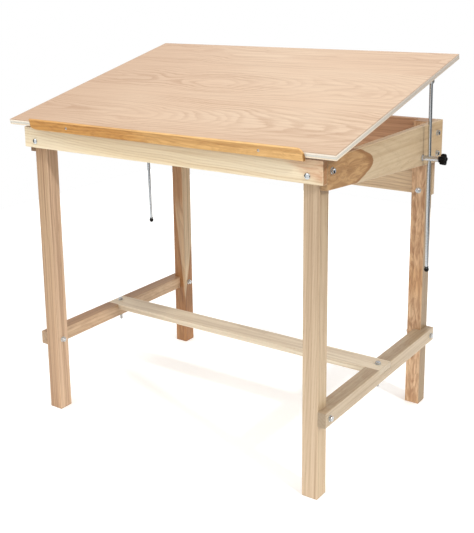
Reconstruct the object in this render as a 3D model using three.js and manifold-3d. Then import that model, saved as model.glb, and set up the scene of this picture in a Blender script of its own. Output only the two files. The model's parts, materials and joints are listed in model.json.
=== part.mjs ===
// Four-post drafting table with a tilting plywood board, in millimetres.
// +X is the width to the sitter's right, +Y goes to the back, +Z is up.
// The origin is on the floor, under the middle of the table's bounding box.
import * as THREE from 'three';
import { mergeVertices } from 'three/addons/utils/BufferGeometryUtils.js';
import { RoundedBoxGeometry } from 'three/addons/geometries/RoundedBoxGeometry.js';
import Module from 'manifold-3d';

const wasm = await Module();
wasm.setup();

// ---- driving dimensions --------------------------------------------------
const LEG = 44.5; // square leg stock
const FRAME_HALF_W = 472; // leg frame, outer faces
const FRAME_HALF_D = 339;
const FRAME_TOP = 880;
const EASED_EDGE = 1.4; // rounding on every sawn edge
const GAP = 0.3; // clearance between pieces that touch or turn on each other

const APRON_THICK = 20;
const APRON_TALL = 59;
const SIDE_THICK = 19.5;
const SIDE_TALL_FRONT = 75;
const SIDE_TALL_REAR = 123;
const REAR_THICK = 19;
const REAR_TALL = 226;

const LOW_BOTTOM = 203; // lower side rails
const LOW_TALL = 40;
const LOW_WIDE = 44.5;
const STRETCHER_WIDE = 73;
const STRETCHER_THICK = 17;

const BOARD_WIDE = 1067;
const BOARD_DEEP = 750;
const BOARD_THICK = 15;
const REST_TILT = THREE.MathUtils.degToRad(13.2);

const LEDGE_LEFT = -443;
const LEDGE_RIGHT = 452;
const LEDGE_TALL = 31;
const LEDGE_THICK = 8;
const LEDGE_LIP = 10; // height above the drawing surface
const LEDGE_SWEEP = { long: 34, rise: 9 }; // sweep at the left end's bottom corner
const LEDGE_NOSE = 20; // radius at the right end's top corner

const HINGE_X = 330; // two hinges, this far either side of the middle
const HINGE_LONG = 76;
const LEAF_THICK = 1.6;
const LEAF_DEEP = 22; // from the pin's axis to the leaf's free edge
const BARREL_R = 3.2;
const KNUCKLE_ROOM = 0.6; // between a knuckle and the other leaf's edge
const HINGE_PIN_R = 1.5;
const HINGE_BORE_R = 1.75;
const PIN_AHEAD = 6; // pin ahead of the apron's front face
const PIN_ABOVE = 3.6; // pin above the frame's top, and below the board's underside

const ROD_R = 4.75;
const ROD_LENGTH = 544; // pivot to the middle of the rubber tip
const ROD_OUT = 21.3; // rod beyond the side rail's outer face
const ROD_EYE = { r: 8.4, halfThick: 5.2, chamfer: 1.4, boreR: 3.5 };
const TIP_R = 7.2;
const TIP_NECK = { r: 6.4, top: 9 };
const PIVOT_DROP = 14; // pivot below the board's underside
// Rod bracket: distances along X are inboard of the rod's axis.
const BRACKET = { thick: 3, plateHalf: 16, plateEnd: 34, lugHalf: 9, lugNear: 6.5, lugFar: 9.5 };
const PIVOT_PIN = { r: 3, boreR: 3.4, inboard: 13.5, outboard: 6.8, headR: 4.4, headThick: 1.6 };

const CLAMP_FROM_REAR = 126; // clamp ahead of the rear legs' back faces
const CLAMP_BELOW_TOP = 89;
const CLAMP_R = 7.2;
const CLAMP_BORE_R = 5.4;
const CLAMP_FLANGE = { r: 9.2, thick: 2.6, room: 0.6 };
const CLAMP_END = 52; // bar's end beyond the side rail's outer face
const STUD_END = 66; // threaded end that carries the knob
const CLAMP_COLLAR = { r: 8.8, thick: 3 }; // at the bar's outer end, against the knob
const CLAMP_TAIL = 12; // threaded tail inside the side rail, for the nut
const KNOB_R = 17;
const KNOB_LOBES = 5;
const KNOB_VALLEY = 3.2; // depth of the scallop between two lobes
const KNOB_DISC = 15;
const KNOB_HUB = { r: 8.5, long: 12, showing: 2.5 };

const BOLT_R = 4;
const BOLT_HOLE_R = 4.5;
const HEX_ACROSS = 13;
const HEAD_TALL = 5.3;
const NUT_TALL = 6.5;
const BOLT_PAST = 12; // bolt's end past the wood, through washer and nut
const STRETCHER_BOLT_PAST = 28;
const WASHER_ROOM = 2; // space kept for a washer under heads and nuts
const ROUND_SIDES = 12;

const ORIGIN_SHIFT_Y = 10.45; // middle of the bounding box, ahead of the leg frame's middle

// ---- derived places ------------------------------------------------------
const LEG_MID_X = FRAME_HALF_W - LEG / 2;
const LEG_MID_Y = FRAME_HALF_D - LEG / 2;
const SIDE_OUTER_X = FRAME_HALF_W + SIDE_THICK;
const APRON_FRONT_Y = -FRAME_HALF_D - APRON_THICK;
const REAR_BACK_Y = FRAME_HALF_D + REAR_THICK;
const LOW_OUTER_X = FRAME_HALF_W + LOW_WIDE / 2;
const LOW_MID_Z = LOW_BOTTOM + LOW_TALL / 2;
const APRON_BOLT_Z = FRAME_TOP - 40;
const REAR_BOLT_Z = FRAME_TOP - 205;
const SIDE_BOLT_Z = { front: [FRAME_TOP - 30], rear: [FRAME_TOP - 33, FRAME_TOP - 93] };

const PIN = { y: APRON_FRONT_Y - PIN_AHEAD, z: FRAME_TOP + PIN_ABOVE };
const BOARD_ABOVE_PIN = PIN_ABOVE;
const BOARD_AHEAD_OF_PIN = 7;
const CLAMP = { y: FRAME_HALF_D - CLAMP_FROM_REAR, z: FRAME_TOP - CLAMP_BELOW_TOP };
const ROD_X = SIDE_OUTER_X + ROD_OUT;

// The rod's pivot is as far from the hinge pin as the clamp is, so the rod leans
// by exactly half of the board's tilt and always passes through the clamp.
const CLAMP_RADIUS = Math.hypot(CLAMP.y - PIN.y, CLAMP.z - PIN.z);
const PIVOT_BELOW_PIN = PIVOT_DROP - BOARD_ABOVE_PIN;
const PIVOT_ALONG = Math.sqrt(CLAMP_RADIUS ** 2 - PIVOT_BELOW_PIN ** 2);
const PIVOT = {
  y: PIN.y + PIVOT_ALONG * Math.cos(REST_TILT) + PIVOT_BELOW_PIN * Math.sin(REST_TILT),
  z: PIN.z + PIVOT_ALONG * Math.sin(REST_TILT) - PIVOT_BELOW_PIN * Math.cos(REST_TILT),
};
const ROD_LEAN = Math.atan2(CLAMP.y - PIVOT.y, PIVOT.z - CLAMP.z);

// ---- materials -----------------------------------------------------------
const finish = (color, roughness, metalness) => ({ color, roughness, metalness });
const ASH = finish(0xe8d3b0, 0.55, 0);
const ASH_DARK = finish(0xc49a68, 0.55, 0);
const VENEER = finish(0xe9cdb0, 0.5, 0);
const HONEY = finish(0xd9a55c, 0.45, 0);
const ZINC = finish(0xb9bcc0, 0.32, 1);
const CHROME = finish(0xd2d4d8, 0.2, 1);
const BLACK_PLASTIC = finish(0x151517, 0.45, 0);
const RUBBER = finish(0x1c1c1e, 0.8, 0);

// ---- geometry helpers ----------------------------------------------------
const table = new THREE.Group();
table.position.y = ORIGIN_SHIFT_Y;

// Welds a shape's seams while it still lies at the origin, where its numbers are finest.
function weld(geometry) {
  geometry.deleteAttribute('normal');
  geometry.deleteAttribute('uv');
  const welded = mergeVertices(geometry, 1e-3);
  const corners = welded.index.array;
  const kept = [];
  for (let i = 0; i < corners.length; i += 3) {
    const [a, b, c] = corners.slice(i, i + 3);
    // A lathe folds the triangles on its axis to nothing, so those are left out.
    if (a !== b && b !== c && c !== a) kept.push(a, b, c);
  }
  return welded.setIndex(kept);
}

function solidOf(geometry) {
  return new wasm.Manifold(new wasm.Mesh({
    numProp: 3,
    vertProperties: new Float32Array(geometry.attributes.position.array),
    triVerts: new Uint32Array(geometry.index.array),
  }));
}

function geometryOf(solid) {
  const mesh = solid.getMesh();
  const geometry = new THREE.BufferGeometry();
  geometry.setAttribute('position', new THREE.BufferAttribute(mesh.vertProperties, 3));
  geometry.setIndex(new THREE.BufferAttribute(mesh.triVerts, 1));
  geometry.computeVertexNormals();
  return geometry;
}

function cut(geometry, ...tools) {
  return geometryOf(tools.reduce((left, tool) => left.subtract(solidOf(tool)), solidOf(geometry)));
}

function join(geometry, ...others) {
  return geometryOf(others.reduce((whole, other) => whole.add(solidOf(other)), solidOf(geometry)));
}

function named(name, geometry, look, parent = table) {
  const mesh = new THREE.Mesh(geometry, new THREE.MeshStandardMaterial(look));
  mesh.name = name;
  parent.add(mesh);
}

// A sawn piece with eased edges, between two corners.
function lumber(x0, x1, y0, y1, z0, z1) {
  const box = weld(new RoundedBoxGeometry(x1 - x0, y1 - y0, z1 - z0, 1, EASED_EDGE));
  return box.translate((x0 + x1) / 2, (y0 + y1) / 2, (z0 + z1) / 2);
}

// A sawn plank with eased edges, cut to an outline.
function sawn(outline, thick) {
  return weld(new THREE.ExtrudeGeometry(outline, {
    depth: thick - 2 * EASED_EDGE,
    curveSegments: 7,
    bevelThickness: EASED_EDGE,
    bevelSize: EASED_EDGE,
    bevelOffset: -EASED_EDGE,
    bevelSegments: 1,
  }));
}

function block(x0, x1, y0, y1, z0, z1) {
  const box = weld(new THREE.BoxGeometry(x1 - x0, y1 - y0, z1 - z0));
  return box.translate((x0 + x1) / 2, (y0 + y1) / 2, (z0 + z1) / 2);
}

// Turns a shape made along +Y, such as a cylinder or a lathe, to lie along another axis.
const TURNS = {
  x: (g) => g.rotateZ(-Math.PI / 2),
  y: (g) => g,
  z: (g) => g.rotateX(Math.PI / 2),
};

// A round bar along an axis, from a to b, with its other two coordinates given in order.
function bar(axis, a, b, p, q, radius, sides = ROUND_SIDES) {
  const g = TURNS[axis](weld(new THREE.CylinderGeometry(radius, radius, b - a, sides)));
  const mid = (a + b) / 2;
  const place = { x: [mid, p, q], y: [p, mid, q], z: [p, q, mid] }[axis];
  return g.translate(...place);
}

// A solid of revolution about an axis through the given point; profile is [radius, along] pairs.
function turned(axis, profile, place, sides = ROUND_SIDES) {
  const points = profile.map(([r, along]) => new THREE.Vector2(r, along));
  return TURNS[axis](weld(new THREE.LatheGeometry(points, sides))).translate(...place);
}

// ---- fasteners -----------------------------------------------------------
// Each runs along an axis in the direction of sign, from the face that its head bears on.
function hexBolt(name, axis, sign, face, p, q, length) {
  const head = bar(axis, ...span(face - sign * WASHER_ROOM, -sign * HEAD_TALL), p, q, hexR(), 6);
  const shank = bar(axis, ...span(face - sign * (WASHER_ROOM + 1), sign * (length + 1)), p, q, BOLT_R);
  named(name, join(head, shank), ZINC);
}

function carriageBolt(name, face, x, z, length) {
  const dome = [[0, -4.5], [3.4, -4.2], [6.2, -3.1], [8.2, -1.2], [8.4, -GAP], [0, -GAP]];
  const head = turned('y', dome, [x, face, z], 20);
  const shank = bar('y', face - 1, face + length, x, z, BOLT_R);
  named(name, join(head, shank), ZINC);
}

function nut(name, axis, sign, face, p, q) {
  const start = face + sign * WASHER_ROOM;
  const body = bar(axis, ...span(start, sign * NUT_TALL), p, q, hexR(), 6);
  const bore = bar(axis, ...span(start - sign, sign * (NUT_TALL + 2)), p, q, BOLT_R + GAP);
  named(name, cut(body, bore), ZINC);
}

function hexR() {
  return HEX_ACROSS / Math.sqrt(3);
}

function span(from, run) {
  return run > 0 ? [from, from + run] : [from + run, from];
}

// ---- frame ---------------------------------------------------------------
function hole(axis, a, b, p, q) {
  return bar(axis, a, b, p, q, BOLT_HOLE_R);
}

function legs() {
  for (const [side, sx] of [['left', -1], ['right', 1]]) {
    for (const [end, sy] of [['front', -1], ['rear', 1]]) {
      const x = sx * LEG_MID_X;
      const y = sy * LEG_MID_Y;
      const post = lumber(x - LEG / 2, x + LEG / 2, y - LEG / 2, y + LEG / 2, 0, FRAME_TOP);
      const across = [LOW_MID_Z, ...SIDE_BOLT_Z[end]].map((z) => hole('x', x - LEG, x + LEG, y, z));
      const through = hole('y', y - LEG, y + LEG, x, end === 'front' ? APRON_BOLT_Z : REAR_BOLT_Z);
      named(`leg_${end}_${side}`, cut(post, ...across, through), ASH);
    }
  }
}

function aprons() {
  const frontBottom = FRAME_TOP - APRON_TALL;
  const rearBottom = FRAME_TOP - REAR_TALL;
  const front = lumber(-SIDE_OUTER_X, SIDE_OUTER_X, APRON_FRONT_Y, -FRAME_HALF_D, frontBottom, FRAME_TOP);
  const rear = lumber(-FRAME_HALF_W, FRAME_HALF_W, FRAME_HALF_D, REAR_BACK_Y, rearBottom, FRAME_TOP);
  const boltsAt = (y, z) => [-1, 1].map((s) => hole('y', y - LEG, y + LEG, s * LEG_MID_X, z));
  named('front_apron', cut(front, ...boltsAt(-FRAME_HALF_D, APRON_BOLT_Z)), ASH);
  named('rear_apron', cut(rear, ...boltsAt(FRAME_HALF_D, REAR_BOLT_Z)), ASH_DARK);
}

// Upper side rail: level on top, with a bottom edge that drops towards the back.
function upperSideRail(side, sx) {
  const outline = new THREE.Shape([
    new THREE.Vector2(-FRAME_HALF_D, FRAME_TOP - SIDE_TALL_FRONT),
    new THREE.Vector2(REAR_BACK_Y, FRAME_TOP - SIDE_TALL_REAR),
    new THREE.Vector2(REAR_BACK_Y, FRAME_TOP),
    new THREE.Vector2(-FRAME_HALF_D, FRAME_TOP),
  ]);
  const plank = sawn(outline, SIDE_THICK);
  // The outline lies in Y and Z, and its thickness along X.
  plank.rotateX(Math.PI / 2).rotateZ(Math.PI / 2);
  plank.translate(sx * (FRAME_HALF_W + SIDE_THICK / 2) - SIDE_THICK / 2 + EASED_EDGE, 0, 0);
  const boltHole = (y, z) => hole('x', ...span(sx * (FRAME_HALF_W - 5), sx * (SIDE_THICK + 10)), y, z);
  const bolts = [
    ...SIDE_BOLT_Z.front.map((z) => boltHole(-LEG_MID_Y, z)),
    ...SIDE_BOLT_Z.rear.map((z) => boltHole(LEG_MID_Y, z)),
    boltHole(CLAMP.y, CLAMP.z),
  ];
  named(`upper_side_rail_${side}`, cut(plank, ...bolts), ASH);
}

// Lower side rail: its ends are rebated to lap the legs' outer faces, and its top is
// notched for the stretcher.
function lowerSideRail(side, sx) {
  const edges = [sx * (FRAME_HALF_W - LOW_WIDE / 2), sx * LOW_OUTER_X].sort((a, b) => a - b);
  const rail = lumber(...edges, -FRAME_HALF_D, FRAME_HALF_D, LOW_BOTTOM, LOW_BOTTOM + LOW_TALL);
  const inner = [sx * (FRAME_HALF_W - LEG), sx * FRAME_HALF_W].sort((a, b) => a - b);
  const rebates = [-1, 1].map((sy) => {
    const ends = [sy * (FRAME_HALF_D - LEG), sy * (FRAME_HALF_D + 5)].sort((a, b) => a - b);
    return block(...inner, ...ends, LOW_BOTTOM - 5, LOW_BOTTOM + LOW_TALL + 5);
  });
  const half = STRETCHER_WIDE / 2 + GAP;
  const floor = LOW_BOTTOM + LOW_TALL - STRETCHER_THICK - GAP;
  const notch = block(edges[0] - 5, edges[1] + 5, -half, half, floor, LOW_BOTTOM + LOW_TALL + 5);
  const bolts = [-1, 1].map((sy) => hole('x', edges[0] - 5, edges[1] + 5, sy * LEG_MID_Y, LOW_MID_Z));
  const down = hole('z', LOW_BOTTOM - 5, LOW_BOTTOM + LOW_TALL, sx * FRAME_HALF_W, 0);
  named(`lower_side_rail_${side}`, cut(rail, ...rebates, notch, ...bolts, down), ASH);
}

function stretcher() {
  const top = LOW_BOTTOM + LOW_TALL;
  const half = STRETCHER_WIDE / 2;
  const plank = lumber(-LOW_OUTER_X, LOW_OUTER_X, -half, half, top - STRETCHER_THICK, top);
  const bolts = [-1, 1].map((sx) => hole('z', top - LOW_TALL, top + 5, sx * FRAME_HALF_W, 0));
  named('centre_stretcher', cut(plank, ...bolts), ASH);
}

function frameBolts() {
  for (const [side, sx] of [['left', -1], ['right', 1]]) {
    const x = sx * LEG_MID_X;
    const backOfLeg = -FRAME_HALF_D + LEG;
    const frontOfLeg = FRAME_HALF_D - LEG;
    const frontLong = APRON_THICK + LEG + BOLT_PAST;
    const rearLong = REAR_THICK + LEG + BOLT_PAST;
    carriageBolt(`apron_bolt_front_${side}`, APRON_FRONT_Y, x, APRON_BOLT_Z, frontLong);
    nut(`apron_nut_front_${side}`, 'y', 1, backOfLeg, x, APRON_BOLT_Z);
    hexBolt(`apron_bolt_rear_${side}`, 'y', -1, REAR_BACK_Y, x, REAR_BOLT_Z, rearLong);
    nut(`apron_nut_rear_${side}`, 'y', -1, frontOfLeg, x, REAR_BOLT_Z);

    const sideLong = SIDE_THICK + LEG + BOLT_PAST;
    const lowLong = LOW_WIDE / 2 + LEG + BOLT_PAST;
    for (const [end, sy] of [['front', -1], ['rear', 1]]) {
      const y = sy * LEG_MID_Y;
      SIDE_BOLT_Z[end].forEach((z, i) => {
        const label = end === 'front' ? 'front' : ['rear_upper', 'rear_lower'][i];
        hexBolt(`side_rail_bolt_${label}_${side}`, 'x', -sx, sx * SIDE_OUTER_X, y, z, sideLong);
      });
      hexBolt(`lower_rail_bolt_${end}_${side}`, 'x', -sx, sx * LOW_OUTER_X, y, LOW_MID_Z, lowLong);
      nut(`lower_rail_nut_${end}_${side}`, 'x', -sx, sx * (FRAME_HALF_W - LEG), y, LOW_MID_Z);
    }

    const railTop = LOW_BOTTOM + LOW_TALL;
    const downLong = LOW_TALL + STRETCHER_BOLT_PAST;
    hexBolt(`stretcher_bolt_${side}`, 'z', -1, railTop, sx * FRAME_HALF_W, 0, downLong);
    nut(`stretcher_nut_${side}`, 'z', -1, LOW_BOTTOM, sx * FRAME_HALF_W, 0);
  }
}

// ---- board and what turns with it ----------------------------------------
// The board group has its origin on the hinge pin, +Y up the slope, +Z square to the board.
const boardGroup = new THREE.Group();
boardGroup.position.set(0, PIN.y, PIN.z);
boardGroup.rotation.x = REST_TILT;
table.add(boardGroup);

function drawingBoard() {
  const half = BOARD_WIDE / 2;
  const front = -BOARD_AHEAD_OF_PIN;
  const back = front + BOARD_DEEP;
  const sheet = lumber(-half, half, front, back, BOARD_ABOVE_PIN, BOARD_ABOVE_PIN + BOARD_THICK);
  named('drawing_board', sheet, VENEER, boardGroup);
}

// The ledge is a strip across the board's front edge, with one corner rounded at each end.
function pencilLedge() {
  const top = BOARD_ABOVE_PIN + BOARD_THICK + LEDGE_LIP;
  const bottom = top - LEDGE_TALL;
  const { long, rise } = LEDGE_SWEEP;
  const outline = new THREE.Shape();
  outline.moveTo(LEDGE_LEFT, top);
  outline.lineTo(LEDGE_LEFT, bottom + rise);
  outline.absellipse(LEDGE_LEFT + long, bottom + rise, long, rise, Math.PI, 1.5 * Math.PI);
  outline.lineTo(LEDGE_RIGHT, bottom);
  outline.lineTo(LEDGE_RIGHT, top - LEDGE_NOSE);
  outline.absarc(LEDGE_RIGHT - LEDGE_NOSE, top - LEDGE_NOSE, LEDGE_NOSE, 0, Math.PI / 2);
  outline.closePath();
  const strip = sawn(outline, LEDGE_THICK);
  // The outline lies in X and Z, and its thickness runs forward from the board's edge.
  strip.rotateX(Math.PI / 2).translate(0, -BOARD_AHEAD_OF_PIN - GAP - EASED_EDGE, 0);
  named('pencil_ledge', strip, HONEY, boardGroup);
}

// Butt hinges: one leaf on the apron's top edge, the other under the board.
function hinge(side, sx) {
  const x0 = sx * HINGE_X - HINGE_LONG / 2;
  const x1 = x0 + HINGE_LONG;
  const third = HINGE_LONG / 3;
  const bore = bar('x', x0 - 1, x1 + 1, 0, 0, HINGE_BORE_R);
  const leaf = (bottom) => block(x0, x1, 0, LEAF_DEEP, bottom, bottom + LEAF_THICK);
  const knuckle = (a, b) => bar('x', a, b, 0, 0, BARREL_R);
  // Room in a leaf for the other leaf's knuckles.
  const reach = BARREL_R + KNUCKLE_ROOM;
  const room = (a, b) => block(a, b, -reach, reach, -reach, reach);

  const low = cut(
    join(leaf(-PIN_ABOVE + GAP), knuckle(x0, x0 + third), knuckle(x1 - third, x1)),
    room(x0 + third - GAP, x1 - third + GAP),
    bore,
  );
  const lowGroup = new THREE.Group();
  lowGroup.position.set(0, PIN.y, PIN.z);
  table.add(lowGroup);
  named(`hinge_lower_leaf_${side}`, low, ZINC, lowGroup);
  named(`hinge_pin_${side}`, bar('x', x0, x1, 0, 0, HINGE_PIN_R), ZINC, lowGroup);

  const high = cut(
    join(leaf(BOARD_ABOVE_PIN - GAP - LEAF_THICK), knuckle(x0 + third + GAP, x1 - third - GAP)),
    room(x0 - 1, x0 + third + GAP),
    room(x1 - third - GAP, x1 + 1),
    bore,
  );
  named(`hinge_upper_leaf_${side}`, high, ZINC, boardGroup);
}

// Bracket: a plate screwed under the board with a lug that the rod's top hangs from.
function rodBracket(side, sx) {
  const inboard = (a, b) => span(sx * (ROD_X - a), sx * (a - b));
  const plateTop = BOARD_ABOVE_PIN - GAP;
  const plateX = inboard(BRACKET.plateEnd, BRACKET.lugNear);
  const lugX = inboard(BRACKET.lugFar, BRACKET.lugNear);
  const at = [PIVOT_ALONG, -PIVOT_BELOW_PIN];
  const crossing = (half) => [PIVOT_ALONG - half, PIVOT_ALONG + half];
  const plate = block(...plateX, ...crossing(BRACKET.plateHalf), plateTop - BRACKET.thick, plateTop);
  const lug = block(...lugX, ...crossing(BRACKET.lugHalf), -PIVOT_BELOW_PIN, plateTop - 1);
  const round = bar('x', ...lugX, ...at, BRACKET.lugHalf, 20);
  const bore = bar('x', lugX[0] - 1, lugX[1] + 1, ...at, PIVOT_PIN.boreR);
  named(`rod_bracket_${side}`, cut(join(plate, lug, round), bore), ZINC, boardGroup);

  const shank = bar('x', ...inboard(PIVOT_PIN.inboard, -PIVOT_PIN.outboard), ...at, PIVOT_PIN.r);
  const headX = span(sx * (ROD_X + PIVOT_PIN.outboard - 1), sx * PIVOT_PIN.headThick);
  const head = bar('x', ...headX, ...at, PIVOT_PIN.headR, 16);
  named(`rod_pivot_pin_${side}`, join(shank, head), ZINC, boardGroup);
}

// ---- support rods and clamps ---------------------------------------------
// The rod group hangs from the pivot, with +Z up the rod.
function supportRod(side, sx) {
  const rodGroup = new THREE.Group();
  rodGroup.position.set(sx * ROD_X, PIVOT.y, PIVOT.z);
  rodGroup.rotation.x = ROD_LEAN;
  table.add(rodGroup);
  const { r, halfThick, chamfer, boreR } = ROD_EYE;
  const rounded = [
    [0, -halfThick], [r - chamfer, -halfThick], [r, chamfer - halfThick],
    [r, halfThick - chamfer], [r - chamfer, halfThick], [0, halfThick],
  ];
  const shaft = bar('z', -ROD_LENGTH, -boreR - 1, 0, 0, ROD_R);
  const eye = turned('x', rounded, [0, 0, 0], 24);
  const eyeBore = bar('x', -halfThick - 1, halfThick + 1, 0, 0, boreR);
  named(`support_rod_${side}`, cut(join(shaft, eye), eyeBore), CHROME, rodGroup);

  // The tip is a rubber ball with a short neck; the rod stops inside it.
  const steps = 8;
  const ball = [[0, -TIP_R]];
  for (let i = 1; i < steps; i += 1) {
    const a = -Math.PI / 2 + (i / steps) * Math.PI * 0.8;
    ball.push([TIP_R * Math.cos(a), TIP_R * Math.sin(a)]);
  }
  ball.push([TIP_NECK.r, TIP_NECK.top], [0, TIP_NECK.top]);
  const tip = turned('z', ball, [0, 0, -ROD_LENGTH], 20);
  const socket = bar('z', -ROD_LENGTH - GAP, TIP_NECK.top + 1 - ROD_LENGTH, 0, 0, ROD_R + GAP);
  named(`rod_tip_${side}`, cut(tip, socket), RUBBER, rodGroup);
}

// The swivel clamp: a bar that turns in the side rail, cross-bored for the rod, with a
// threaded end for the star knob and a nut inside the rail.
function rodClamp(side, sx) {
  const along = (a, b, r, sides) => bar('x', ...span(sx * a, sx * (b - a)), 0, 0, r, sides);
  const flange = SIDE_OUTER_X + CLAMP_FLANGE.room;
  const barStart = flange + CLAMP_FLANGE.thick;
  const barEnd = SIDE_OUTER_X + CLAMP_END;
  const studEnd = SIDE_OUTER_X + STUD_END;
  const clampGroup = new THREE.Group();
  clampGroup.position.set(0, CLAMP.y, CLAMP.z);
  clampGroup.rotation.x = ROD_LEAN;
  table.add(clampGroup);

  const body = join(
    along(barStart - 1, barEnd, CLAMP_R, 20),
    along(flange, barStart, CLAMP_FLANGE.r, 20),
    along(barEnd - CLAMP_COLLAR.thick, barEnd, CLAMP_COLLAR.r, 20),
    along(FRAME_HALF_W - CLAMP_TAIL, flange + 1, BOLT_R),
    along(barEnd - 1, studEnd, BOLT_R),
  );
  const rodBore = bar('z', -2 * CLAMP_R, 2 * CLAMP_R, sx * ROD_X, 0, CLAMP_BORE_R, 20);
  named(`rod_clamp_${side}`, cut(body, rodBore), ZINC, clampGroup);

  const nutFace = FRAME_HALF_W - CLAMP_FLANGE.room;
  const nutBody = along(nutFace - NUT_TALL, nutFace, hexR(), 6);
  const nutBore = along(nutFace - NUT_TALL - 1, nutFace + 1, BOLT_R + GAP);
  named(`rod_clamp_nut_${side}`, cut(nutBody, nutBore), ZINC, clampGroup);
  named(`star_knob_${side}`, starKnob(sx, barEnd + GAP, studEnd), BLACK_PLASTIC, clampGroup);
}

// Star knob: a lobed disc on a hub, bored from the inner side for the stud.
function starKnob(sx, start, studEnd) {
  const steps = KNOB_LOBES * 10;
  const rim = [];
  for (let i = 0; i < steps; i += 1) {
    const a = (i / steps) * 2 * Math.PI;
    const r = KNOB_R - KNOB_VALLEY * (0.5 - 0.5 * Math.cos(KNOB_LOBES * a)) ** 0.8;
    rim.push(new THREE.Vector2(r * Math.cos(a), r * Math.sin(a)));
  }
  const rounding = 2;
  const disc = weld(new THREE.ExtrudeGeometry(new THREE.Shape(rim), {
    depth: KNOB_DISC - 2 * rounding,
    bevelThickness: rounding,
    bevelSize: rounding,
    bevelOffset: -rounding,
    bevelSegments: 2,
  }));
  disc.translate(0, 0, start + KNOB_HUB.showing + rounding).rotateY((sx * Math.PI) / 2);
  const hub = bar('x', ...span(sx * start, sx * KNOB_HUB.long), 0, 0, KNOB_HUB.r, 20);
  const boreEnd = studEnd + GAP;
  const bore = bar('x', ...span(sx * (start - 1), sx * (boreEnd - start + 1)), 0, 0, BOLT_R + GAP);
  return cut(join(disc, hub), bore);
}

// ---- assembly ------------------------------------------------------------
legs();
aprons();
stretcher();
frameBolts();
drawingBoard();
pencilLedge();
for (const [side, sx] of [['left', -1], ['right', 1]]) {
  upperSideRail(side, sx);
  lowerSideRail(side, sx);
  hinge(side, sx);
  rodBracket(side, sx);
  supportRod(side, sx);
  rodClamp(side, sx);
}

export default table;
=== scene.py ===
# Looks for the drafting table, in metres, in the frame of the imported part.
import bpy
import bmesh
import json
import math
import random
from mathutils import Matrix, Vector


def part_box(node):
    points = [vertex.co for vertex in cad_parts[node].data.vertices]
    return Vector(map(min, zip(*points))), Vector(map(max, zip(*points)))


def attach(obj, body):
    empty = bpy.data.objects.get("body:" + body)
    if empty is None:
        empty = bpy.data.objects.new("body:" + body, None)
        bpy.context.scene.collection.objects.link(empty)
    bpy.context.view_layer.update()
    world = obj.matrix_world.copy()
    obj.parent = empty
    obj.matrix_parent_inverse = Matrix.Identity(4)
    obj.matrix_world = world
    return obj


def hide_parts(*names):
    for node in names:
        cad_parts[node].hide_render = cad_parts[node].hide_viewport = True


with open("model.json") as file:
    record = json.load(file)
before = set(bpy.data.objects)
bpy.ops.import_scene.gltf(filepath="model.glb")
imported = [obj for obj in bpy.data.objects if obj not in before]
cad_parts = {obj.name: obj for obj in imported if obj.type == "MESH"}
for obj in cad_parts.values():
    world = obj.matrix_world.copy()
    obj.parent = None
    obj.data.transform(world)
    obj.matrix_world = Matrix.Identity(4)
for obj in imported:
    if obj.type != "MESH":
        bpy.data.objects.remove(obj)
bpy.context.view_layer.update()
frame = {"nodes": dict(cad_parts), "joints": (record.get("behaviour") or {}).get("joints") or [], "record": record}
record = frame["record"]
nodes = frame["nodes"]
joints = {j["name"]: j for j in frame["joints"]}
mounts = {m["name"]: m for m in record["mounts"]}
SIDES = (("left", -1), ("right", 1))
MM = 0.001


def mid(node):
    lo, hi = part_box(node)
    return (lo + hi) / 2


# ---- where things are ------------------------------------------------------
PIN = Vector(joints["board_tilt"]["pos_m"])
NORMAL = Vector(mounts["drawing_surface"]["axis"])
TILT = math.atan2(-NORMAL.y, NORMAL.z)
BOARD_TURN = Matrix.Translation(PIN) @ Matrix.Rotation(TILT, 4, "X")
BOARD_UNDER = 3.6 * MM  # underside of the board above the pin
BOARD_TOP = BOARD_UNDER + 15 * MM


# ---- shader helpers --------------------------------------------------------
def dimmed(colour, share):
    return tuple(c * share for c in colour[:3]) + (1,)


def srgb(r, g, b):
    return tuple(c / 12.92 if c <= 0.04045 else ((c + 0.055) / 1.055) ** 2.4
                 for c in (r / 255, g / 255, b / 255)) + (1.0,)


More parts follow.
